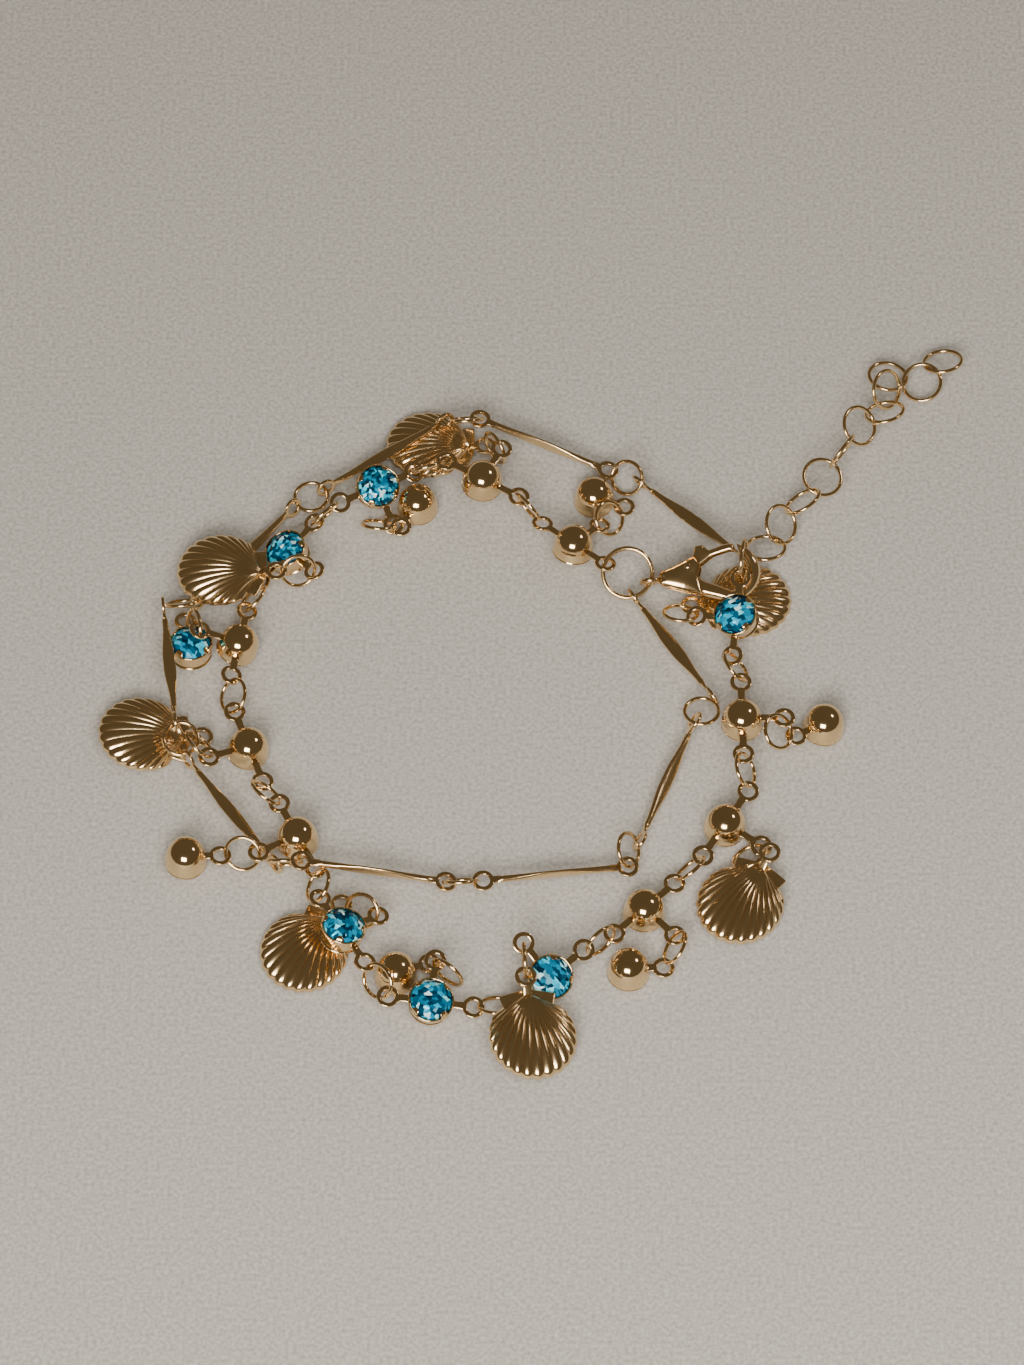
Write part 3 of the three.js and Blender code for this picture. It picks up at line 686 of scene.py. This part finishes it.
def piece(name, shape, place, metal, stone_at=None, body="bracelet"):
    """Puts a fused shape where it lies, with its metal, and with teal on a stone if one is set there."""
    points, triangles = shape
    fine = meshed("fine_" + name, (place.out(points) + SHIFT) * MM, triangles)
    mesh = fine.data
    mesh.materials.append(metal)
    mesh.shade_smooth()
    mesh.set_sharp_from_angle(angle=CRISP)
    if stone_at is not None:
        teal = on_stone(points, stone_at)[triangles].all(1)
        mesh.materials.append(TEAL)
        mesh.polygons.foreach_set("material_index", teal.astype(np.int32))
        mesh.polygons.foreach_set("use_smooth", ~teal)
        chart = mesh.uv_layers.new(name="setting")
        across = points[triangles.ravel(), :2] / (2 * CUP_WALL) + 0.5
        chart.data.foreach_set("uv", across.astype(np.float32).ravel())
    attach(fine, body)
    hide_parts(name)
    finished[name] = len(triangles)


# %% [markdown]
# ## Cups with a ball or a stone
#
# A cup is pressed from a disc, so a turned profile gives it: a flat foot with a thin ledge and a nearly
# straight wall. A ball sits in it down to its waist, and only a shallow groove shows where the two meet. A
# stone's cup ends in a thin rim with four broad claws. The stone is a round brilliant: an eight-sided
# table, eight star facets, eight kites and sixteen facets at the edge. Points that lie on it get the glass.

# %% Turned cup


def turned(profile, around=72, tips=None):
    """Revolves rows of radius and height about the upright."""
    profile = np.asarray(profile, float)
    c, s = circle(around)
    r, z = profile[:, :1], profile[:, 1:]
    return spread(r * c, r * s, z, tips)


def arc(middle, radius, start, end, count):
    """Points on a circle's arc, from its middle, radius and two angles in degrees."""
    angle = np.radians(np.linspace(start, end, count))
    return np.stack([middle[0] + radius * np.cos(angle), middle[1] + radius * np.sin(angle)], -1)


NEAR_AXIS, BEND = 0.6, 0.1  # where a flat face's fan starts, and the radius of a pressed edge
FOOT = np.vstack([[[NEAR_AXIS, -EYE_LEVEL]],
                  arc((CUP_FOOT - BEND, BEND - EYE_LEVEL), BEND, -90, 60, 7)])
BALL_MIDDLE, BALL_RADIUS = 0.03, 1.95  # height over the eyes, and radius


def ball_cup():
    """A thin ledge at the foot, a nearly straight wall, and the ball's arc from its waist to its pole,
    with a shallow groove where the wall meets it."""
    wall = np.array([[2.04, -0.93], [2.05, -0.6], [2.03, -0.2], [2.0, 0.0], [1.965, 0.12]])
    ball = arc((0, BALL_MIDDLE), BALL_RADIUS, 6, 87, 30)
    poles = (0, 0, -EYE_LEVEL), (0, 0, BALL_MIDDLE + BALL_RADIUS)
    return turned(np.vstack([FOOT, wall, ball]), tips=poles)


def stone_cup():
    """Foot, a wall that widens to a thin rim, and a flat seat under the stone."""
    wall = np.array([[1.98, -0.9], [2.08, -0.5], [2.17, 0.1], [2.24, RIM - 0.16]])
    rim = arc((2.14, RIM - BEND), BEND, 0, 180, 8)
    inside = np.array([[1.98, RIM - 0.5], [NEAR_AXIS, RIM - 0.5]])
    return turned(np.vstack([FOOT, wall, rim, inside]))


print("points in a ball's cup:", len(ball_cup()[0]), "and in a stone's cup:", len(stone_cup()[0]))

# %% Faceted stone
TABLE, STAR, GIRDLE = 1.08, 1.5, 2.0  # radii of table, star points and girdle
TOP, EDGE, BASE = RIM + 0.62, RIM - 0.08, RIM - 0.7  # heights of table, girdle and back
BACK = GIRDLE - 0.15  # radius of the back


def brilliant():
    """Table corners every 45 degrees, star points between them, and sixteen girdle points. A star point's
    height keeps each kite flat: it falls from table to girdle in proportion along the kite's middle."""
    star_height = TOP + (EDGE - TOP) * (STAR * np.cos(np.pi / 8) - TABLE) / (GIRDLE - TABLE)

    def corners(count, radius, height, phase=0.0):
        c, s = circle(count, phase)
        return np.stack([radius * c, radius * s, np.full(count, height)], -1)

    def after(row):
        return np.roll(row, -1)

    points = np.vstack([
        corners(8, TABLE, TOP), corners(8, STAR, star_height, np.pi / 8),
        corners(16, GIRDLE, EDGE), corners(16, BACK, BASE), [[0, 0, TOP], [0, 0, BASE]],
    ])
    table, star = np.arange(8), np.arange(8, 16)
    girdle, back = np.arange(16, 32), np.arange(32, 48)
    at_kite, between = girdle[::2], girdle[1::2]
    faces = [
        (48, table, after(table)), (table, star, after(table)), (table, np.roll(star, 1), at_kite),
        (table, at_kite, star), (star, at_kite, between), (star, between, after(at_kite)),
        (girdle, back, after(back)), (girdle, after(back), after(girdle)), (49, after(back), back),
    ]
    return outward(points, np.vstack([np.stack(np.broadcast_arrays(*face), -1) for face in faces]))


STONE = brilliant()
first, second, third = corners_of(*STONE)
FACET_NORMALS = units(np.cross(second - first, third - first))
FACET_OFFSETS = np.einsum("ij,ij->i", FACET_NORMALS, first)
ON_FACET = 0.002  # points this near count as on a facet


def on_stone(points, middle):
    """True where a point lies on the stone: its greatest distance over the facets' planes is nought."""
    outside = (points - middle) @ FACET_NORMALS.T - FACET_OFFSETS
    return abs(outside.max(1)) < ON_FACET


def claw(degrees):
    """A broad finger from the rim, bent inwards over the stone: a rounded square along a short curve
    whose width falls towards its tip."""
    share = np.linspace(0, 1, 9)
    x = 2.2 - 0.5 * share**1.6
    z = RIM - 0.45 + 0.78 * np.sin(share * np.pi / 2)
    wide = 0.42 * np.sqrt(np.maximum(0, 1 - (share * 0.93) ** 3))
    c, s = rounded_square(16, 0.7)
    thick = 0.1 * (1 - 0.4 * share)
    tangent = units(np.stack([np.gradient(x), np.gradient(z)], -1))
    across_x, across_z = tangent[:, 1] * thick, -tangent[:, 0] * thick
    finger = spread(x[:, None] + across_x[:, None] * s, wide[:, None] * c,
                    z[:, None] + across_z[:, None] * s)
    return moved(finger, about(UP, degrees))


def setting(holds):
    """The parts of one cup with what it holds, about the level of its eyes."""
    if holds == "ball":
        return [ball_cup()]
    return [stone_cup(), STONE] + [claw(degrees) for degrees in (45, 135, 225, 315)]


print("parts in a stone's setting:", len(setting("stone")))

# %% Stations
for i, (row, home) in enumerate(zip(STATIONS, station_places)):
    parts = setting(row.holds)
    for turn in (0, 180, 90 * row.side):
        parts += eye(STATION_REACH, EYE_ROOT, turn)
    if i + 1 < len(STATIONS):
        parts.append(ring_between(home.eye(STATION_REACH), station_places[i + 1].eye(-STATION_REACH), home))
    stone_at = (0, 0, 0) if row.holds == "stone" else None
    piece(f"{row.holds}_station_{i + 1:02d}", fuse(parts), home, CUP_GOLD, stone_at)
print("stations made:", len(finished), "pieces,", sum(finished.values()), "triangles")

# %% [markdown]
# ## Drops
#
# A drop hangs from its station's third eye by a jump ring of its own. Six are balls and one is a stone,
# each in the same cup with a single eye. The seven shells are pressed sheet: a fan of ribs that starts at
# a flat corner under the eye and swells towards a scalloped edge, with two small ears beside the corner.
# A fan is a grid of rays and steps, so a shell is two such grids, one for each side of the sheet.

# %% Shell
SHELL = dict(length=8.8, half_fan=64, height=1.15, wall=0.4, ribs=17, rib=0.2)  # mm and degrees
APEX = EYE_OUTER + 0.4  # from the eye's middle to the fan's corner


def shell_sheet(steps, rays, under):
    """One side of the sheet. Along a ray the run grows with the step, and rays to the side are shorter by
    about the cosine of their angle. The dome is four times the step times what is left of it, to the power
    0.6, and falls to nought at both side edges. A rib is the cosine of the ray's share times the rib count,
    kept positive and raised to 0.9, for round crests and narrow grooves. Ribs start at a sixth of the way,
    are full at half of it, and sink at the scalloped edge and towards both side edges."""
    step, share = np.meshgrid(np.linspace(0, 1, steps) ** 0.9, np.linspace(-1, 1, rays), indexing="ij")
    angle = np.radians(share * SHELL["half_fan"])
    crest = abs(np.cos(share * SHELL["ribs"] * np.pi / 2)) ** 0.9
    swell = smoothstep(0.16, 0.5, step) * SHELL["rib"] * (0.55 + 0.45 * step)
    run = SHELL["length"] * np.cos(angle) ** 1.1 * step + swell * (crest - 0.45) * step**4
    dome = (4 * step * (1 - step) + 1e-9) ** 0.6 * (1 - share**4)
    height = SHELL["height"] * dome - EYE_LEVEL
    wall = SHELL["wall"] * (1 - 0.5 * step**3)
    if not under:
        fade = (1 - 0.75 * step**10) * np.minimum(1, 6 * (1 - abs(share)))
        height = height + wall + swell * (crest - 0.6) * fade
    return np.stack([APEX + run * np.cos(angle), run * np.sin(angle), height], -1)


def shell(steps=44, rays=205):
    """The upper and the lower sheet, closed along their common outline."""
    top, bottom = (shell_sheet(steps, rays, under) for under in (False, True))
    index = numbered(top)
    corner = np.stack([np.zeros(rays - 1, int), index[1, :-1], index[1, 1:]], -1)
    rest = quads(index[1:-1, :-1], index[2:, :-1], index[2:, 1:], index[1:-1, 1:])
    sheet = np.vstack([corner, rest])
    outline = np.concatenate([[0], index[1:, 0], index[-1, 1:], index[-2:0:-1, -1]])
    upper, lower = outline, outline + steps * rays
    wall = quads(lower, np.roll(lower, -1), np.roll(upper, -1), upper)
    points = np.vstack([top.reshape(-1, 3), bottom.reshape(-1, 3)])
    triangles = np.vstack([sheet, sheet[:, ::-1] + steps * rays, wall])
    used, triangles = np.unique(triangles, return_inverse=True)
    return outward(points[used], triangles.reshape(-1, 3))


print("triangles in a shell:", len(shell()[1]))

# %% Plates with rolled edges


def tidy_outline(corners, spacing, blend):
    """Resamples a closed outline at equal spacing and rounds its corners: each point becomes the mean of
    its neighbours within the blend."""
    corners = np.asarray(corners, float)
    closed = np.vstack([corners, corners[:1]])
    travelled = np.concatenate([[0], np.cumsum(np.linalg.norm(np.diff(closed, axis=0), axis=1))])
    count = int(travelled[-1] / spacing)
    at = np.linspace(0, travelled[-1], count, endpoint=False)
    points = np.stack([np.interp(at, travelled, closed[:, k]) for k in (0, 1)], -1)
    reach = max(1, int(blend / spacing))
    return sum(np.roll(points, step, 0) for step in range(-reach, reach + 1)) / (2 * reach + 1)


def room_inside(outline, inward):
    """Radius of the largest circle that touches the outline at each point and fits inside: the least, over
    all other points, of the distance squared over twice the part of the distance along the normal."""
    apart = outline[None] - outline[:, None]
    along_normal = (apart * inward[:, None]).sum(-1)
    radius = np.full(along_normal.shape, np.inf)
    np.divide((apart**2).sum(-1), 2 * along_normal, out=radius, where=along_normal > 1e-6)
    return radius.min(1)


def plate(outline, thick, roll, drop, rows_round=9):
    """A body whose edges roll over: each row is the outline moved inwards along its normals by the roll
    times one less the cosine, and up by the drop times the sine, of an angle from 0 to 90. Where the
    outline has less room than the roll, it moves by nine tenths of the room."""
    ahead = units(np.roll(outline, -1, 0) - np.roll(outline, 1, 0))
    inward = np.stack([-ahead[:, 1], ahead[:, 0]], -1)
    roll = np.minimum(roll, 0.9 * room_inside(outline, inward))
    angle = np.linspace(0, np.pi / 2, rows_round)
    inset, rise = 1 - np.cos(angle), thick / 2 - drop + drop * np.sin(angle)
    inset, rise = np.concatenate([inset[::-1], inset]), np.concatenate([-rise[::-1], rise])
    flat = outline[None] + inward[None] * inset[:, None, None] * roll[None, :, None]
    grid = np.concatenate([flat, np.broadcast_to(rise[:, None, None], flat.shape[:2] + (1,))], -1)
    index = numbered(grid)
    cap = np.array(tessellate_polygon([[(x, y, 0) for x, y in flat[-1]]]))
    a, b, c = corners_of(flat[-1], cap)
    anticlockwise = np.cross(b - a, c - a).sum() > 0
    cap = cap if anticlockwise else cap[:, ::-1]
    caps = [cap + index[-1, 0], cap[:, ::-1] + index[0, 0]]
    return outward(grid.reshape(-1, 3), np.vstack([bands(index[:-1], index[1:])] + caps))


def ears():
    """The hinge of the shell: a low plate with two points beside the eye."""
    outline = tidy_outline(
        [(APEX - 0.4, -0.7), (APEX + 0.1, -2.8), (APEX + 1.9, -2.35), (APEX + 2.2, 0), (APEX + 1.9, 2.35),
         (APEX + 0.1, 2.8), (APEX - 0.4, 0.7)], 0.08, 0.16)
    return moved(plate(outline, thick=0.34, roll=0.14, drop=0.14), at=(0, 0, 0.3 - EYE_LEVEL))


def shell_neck():
    """A flat strip from the eye to the shell's corner, which steps down by the smooth step."""
    share = np.linspace(0, 1, 16)
    x = EYE_HOLE + 0.12 + (APEX + 0.7 - EYE_HOLE) * share
    z = (0.35 - EYE_LEVEL) * smoothstep(0, 1, share)
    c, s = rounded_square(20)
    return spread(x[:, None], NECK * c, z[:, None] + 0.18 * s)


print("triangles in a shell's ears:", len(ears()[1]))

# %% Drops on their rings
beside = (DROP_REACH, 0, 0)
for i, (row, home) in enumerate(zip(DROPS, drop_places)):
    if row.kind == "shell":
        parts = [shell(), ears(), shell_neck(), washer()]
        name, metal = f"shell_charm_{i + 1:02d}", PRESSED_GOLD
    else:
        parts = [moved(part, at=beside) for part in setting(row.kind)]
        parts += [moved(part, at=beside) for part in eye(DROP_REACH, EYE_ROOT, 180)]
        name, metal = f"{row.kind}_drop_{i + 1:02d}", CUP_GOLD
    third = station_places[i].eye(0, STATIONS[i].side * STATION_REACH)
    parts.append(ring_between(home.eye(0), third, home))
    piece(name, fuse(parts), home, metal, beside if row.kind == "stone" else None)
print("pieces so far:", len(finished), "with", sum(finished.values()), "triangles")

# %% [markdown]
# ## Bar links
#
# A bar starts as round wire. A press flattens its middle into a long leaf and both ends into eyes that
# lie across the leaf, so the bar catches the light in three planes. Rows of rounded sections along its
# length give that: each row has a half width and a half thickness.

# %% Bars
BAR_WIRE, BAR_LEAF, BAR_TANG = (0.33, 0.33), (0.23, 0.64), (0.4, 0.16)  # half sizes, level and upright


def bar():
    """Half sizes along the bar: the wire's, blended with the leaf's by a smooth step on the distance from
    the middle, which ends at 4.9, and then with the tang's by one that starts 1.15 before the end."""
    end = BAR_REACH - EYE_HOLE - 0.2
    x = np.linspace(-end, end, 97)
    leaf = 1 - smoothstep(0.6, 4.9, abs(x))
    tang = smoothstep(end - 1.15, end - 0.25, abs(x))
    level, upright = (
        (wire + (pressed - wire) * leaf) * (1 - tang) + flat * tang
        for wire, pressed, flat in zip(BAR_WIRE, BAR_LEAF, BAR_TANG))
    c, s = rounded_square(28, 0.85)
    return spread(x[:, None], level[:, None] * c, upright[:, None] * s)


for i, home in enumerate(bar_places):
    parts = [bar()]
    for turn in (0, 180):
        parts += eye(BAR_REACH, BAR_REACH - EYE_OUTER - 0.6, turn)
    if i + 1 < len(BARS):
        parts.append(ring_between(home.eye(BAR_REACH), bar_places[i + 1].eye(-BAR_REACH), home))
    piece(f"bar_link_{i + 1:02d}", fuse(parts), home, WIRE_GOLD)
print("bars made, now", len(finished), "pieces")

# %% [markdown]
# ## Big ring and extender
#
# The big ring gathers both strands at the clasp. The extender is a row of loose round links, each turned
# against the last as chain falls on a table. The links are one body here.

# %% Ring and chain
piece("clasp_ring", ring(BIG_RADIUS, BIG_WIRE, 96, 20), BIG, WIRE_GOLD)
links = []
for i, row in enumerate(EXTENDER):
    place = ring_place(*row)
    links.append(moved(ring(LINK_RADIUS if i else END_LINK_RADIUS, WIRE, 72, 16), place.turn, place.at))
piece("extender_chain", fuse(links), Place(np.eye(3), (0, 0, 0)), WIRE_GOLD)
print("links in the extender:", len(links))

# %% [markdown]
# ## The lobster clasp
#
# The clasp is cast: a teardrop that ends in a hook, with a small eye behind. Its lever turns on a pin in a
# round recess, closes the hook from inside and has a nub for the thumb. Both are plates with well rolled
# edges and share the outer curve. The ends of hook and lever are cut at set distances from the pin, which
# is what lets the lever swing clear.

# %% Clasp outlines
THICK, ROUND, BODY_WALL, MIDDLE = 1.7, 3.0, 1.2, 8.2  # the hook: thickness, radius, width, its middle's x
NECK_X, NECK_Y = 1.0, 0.6  # corner of the narrow end
PIVOT = np.array([3.95, 1.0])  # the pin
ROOT, WIDE, LEVER_THICK = 0.72, 0.85, 1.0  # the lever: radius at the pin, width and thickness
REACH, GAP = 5.15, 0.3  # from the pin to the lever's tip, and the lever's clearance
THROAT = PIVOT + (1.5, -1.6)  # where the hook's inside meets the recess
NUB = [PIVOT + corner for corner in ((2.2, 1.55), (1.6, 2.2), (0.8, 2.1), (0.5, 1.1))]


def angle_at(radius, reach):
    """The angle on a circle round the hook's middle that lies at a reach from the pin, by the cosine
    rule, in degrees."""
    run, rise = MIDDLE - PIVOT[0], PIVOT[1]
    bend = (reach**2 - run**2 - rise**2 - radius**2) / (2 * radius * np.hypot(run, rise))
    return np.degrees(np.arccos(bend) - np.arctan2(rise, run))


RUN = MIDDLE - NECK_X
# where the straight flank from the narrow end touches the round end, in degrees
SHOULDER = np.degrees(np.pi - np.arctan2(NECK_Y, RUN) - np.arccos(ROUND / np.hypot(RUN, NECK_Y)))


def body_outline():
    """The flank, the hook's outer arc and its inner arc, the throat, and the round recess at the pin."""
    inner, hook = ROUND - BODY_WALL, REACH + GAP
    return np.vstack([
        [(NECK_X, -NECK_Y)],
        arc((MIDDLE, 0), ROUND, -SHOULDER, angle_at(ROUND, hook), 90),
        arc((MIDDLE, 0), inner, angle_at(inner, hook), -90, 60),
        [THROAT],
        arc(PIVOT, ROOT + GAP, -50, -205, 40),
        [(NECK_X, NECK_Y)],
    ])


def cheek_outline():
    """Flanks from the neck, along the lines that meet the round end, closed by an arc round the pin."""
    meet = arc((MIDDLE, 0), ROUND, SHOULDER, SHOULDER, 1)[0]
    slope = (meet[1] - NECK_Y) / (meet[0] - NECK_X)

    def flank(x):
        return NECK_Y + (x - NECK_X) * slope

    return np.vstack([[(NECK_X, -NECK_Y), (5.3, -flank(5.3))], arc(PIVOT, ROOT + GAP + 0.2, -40, 50, 16),
                      [(4.5, flank(4.5)), (NECK_X, NECK_Y)]])


def lever_outline():
    """The root's arc, the inner and the outer arc up to the tip, and the thumb's nub."""
    return np.vstack([
        arc(PIVOT, ROOT, 120, 300, 40),
        [(MIDDLE - 1.6, ROUND - WIDE - 0.35)],
        arc((MIDDLE, 0), ROUND - WIDE, 90, angle_at(ROUND - WIDE, REACH), 30),
        arc((MIDDLE, 0), ROUND, angle_at(ROUND, REACH), SHOULDER, 50),
        NUB,
    ])


print("outline corners:", len(body_outline()), len(lever_outline()))

# %% Clasp body and lever
x, y, z, heading, roll, rise = CLASP_PLACE
clasp_place = Place(running(along(heading) + rise * UP, roll), (x, y, z))
upright_eye = moved(ring(0.95, 0.56, 56, 18), about((1, 0, 0), 90))
shank = spread(np.linspace(0.75, 1.75, 8)[:, None], *(0.34 * v for v in rounded_square(24, 0.7)))
body = plate(tidy_outline(body_outline(), 0.07, 0.21), THICK, roll=0.62, drop=0.6)
cheek = plate(tidy_outline(cheek_outline(), 0.07, 0.28), thick=0.5, roll=1.1, drop=0.4)
rivet = turned([[0.32, -0.1], [0.34, 0.05], [0.27, 0.13], [0.12, 0.17]], 32)
CHEEK_LEVEL, RIVET_LEVEL = 0.96, 1.1
parts = [body, upright_eye, shank]
for side in (1, -1):
    parts.append(moved(cheek, at=(0, 0, side * CHEEK_LEVEL)))
    parts.append(moved(rivet, np.diag([1, side, side]), (*PIVOT, side * RIVET_LEVEL)))
piece("clasp_body", fuse(parts), clasp_place, CAST_GOLD)
lever = plate(tidy_outline(lever_outline(), 0.06, 0.12), LEVER_THICK, roll=0.45, drop=0.42)
piece("clasp_lever", lever, clasp_place, CAST_GOLD, body="lever")
print("pieces:", len(finished), "triangles in all:", sum(finished.values()))

# %% [markdown]
# ## The table and the light
#
# Polished metal shows what is round it, so the surroundings are half of its look. The pale table fills
# the lower half of every ball's reflection and makes the tan bands. The room over it is dim and brown, and
# that is the dark disc on top of each ball. A soft light from the near side shapes the table and its
# shadows without showing in the metal. A window light beside it makes the highlight on each ball and the
# bright streaks along the shells' ribs, and a weak far lamp catches the ribs' other sides.

# %% Table
FAR = 2.0  # metres to the table's edges, which are never in view
table = meshed("table", [(-FAR, -FAR, 0), (FAR, -FAR, 0), (FAR, FAR, 0), (-FAR, FAR, 0)], [(0, 1, 2, 3)])
pale, tree, shader = new_material("pale_table")
shader.inputs["Roughness"].default_value = 0.6
speckle = ramp(tree, noise(tree, 2600, 2), [(0.3, (0.32, 0.3, 0.265)), (0.7, (0.5, 0.475, 0.43))])
link(speckle, shader.inputs["Base Color"])
table.data.materials.append(pale)
print("table:", table.dimensions.x, "m across")

# %% Lights
world = bpy.data.worlds.new("dim_room")
bpy.context.scene.world = world
world.use_nodes = True
background = world.node_tree.nodes["Background"].inputs
background["Color"].default_value = (0.62, 0.5, 0.34, 1)
background["Strength"].default_value = 0.17


def area(name, size, power, distance, azimuth, elevation, colour=(1, 1, 1), in_metal=True):
    """A soft rectangular light that faces the bracelet: sizes and distance in metres, power in watts,
    azimuth and elevation in degrees. It can be kept out of the metal's reflections."""
    data = bpy.data.lights.new(name, "AREA")
    data.shape, data.size, data.size_y = "RECTANGLE", *size
    data.energy, data.color = power, colour
    lamp = linked(name, data)
    way = along(azimuth) * np.cos(np.radians(elevation)) + UP * np.sin(np.radians(elevation))
    level = unit(np.cross(UP, way))
    turn = np.column_stack([level, np.cross(way, level), way])
    lamp.matrix_world = Matrix.Translation(way * distance) @ Matrix(turn.tolist()).to_4x4()
    lamp.visible_glossy = in_metal


area("ceiling", (0.24, 0.24), 1.5, 0.37, 278, 54, (1, 0.985, 0.94), in_metal=False)
area("window_strip", (0.42, 0.3), 7.5, 0.9, 258, 37, (1, 0.93, 0.88))
area("far_lamp", (0.16, 0.1), 0.8, 0.9, 22, 44, (1, 0.88, 0.84))
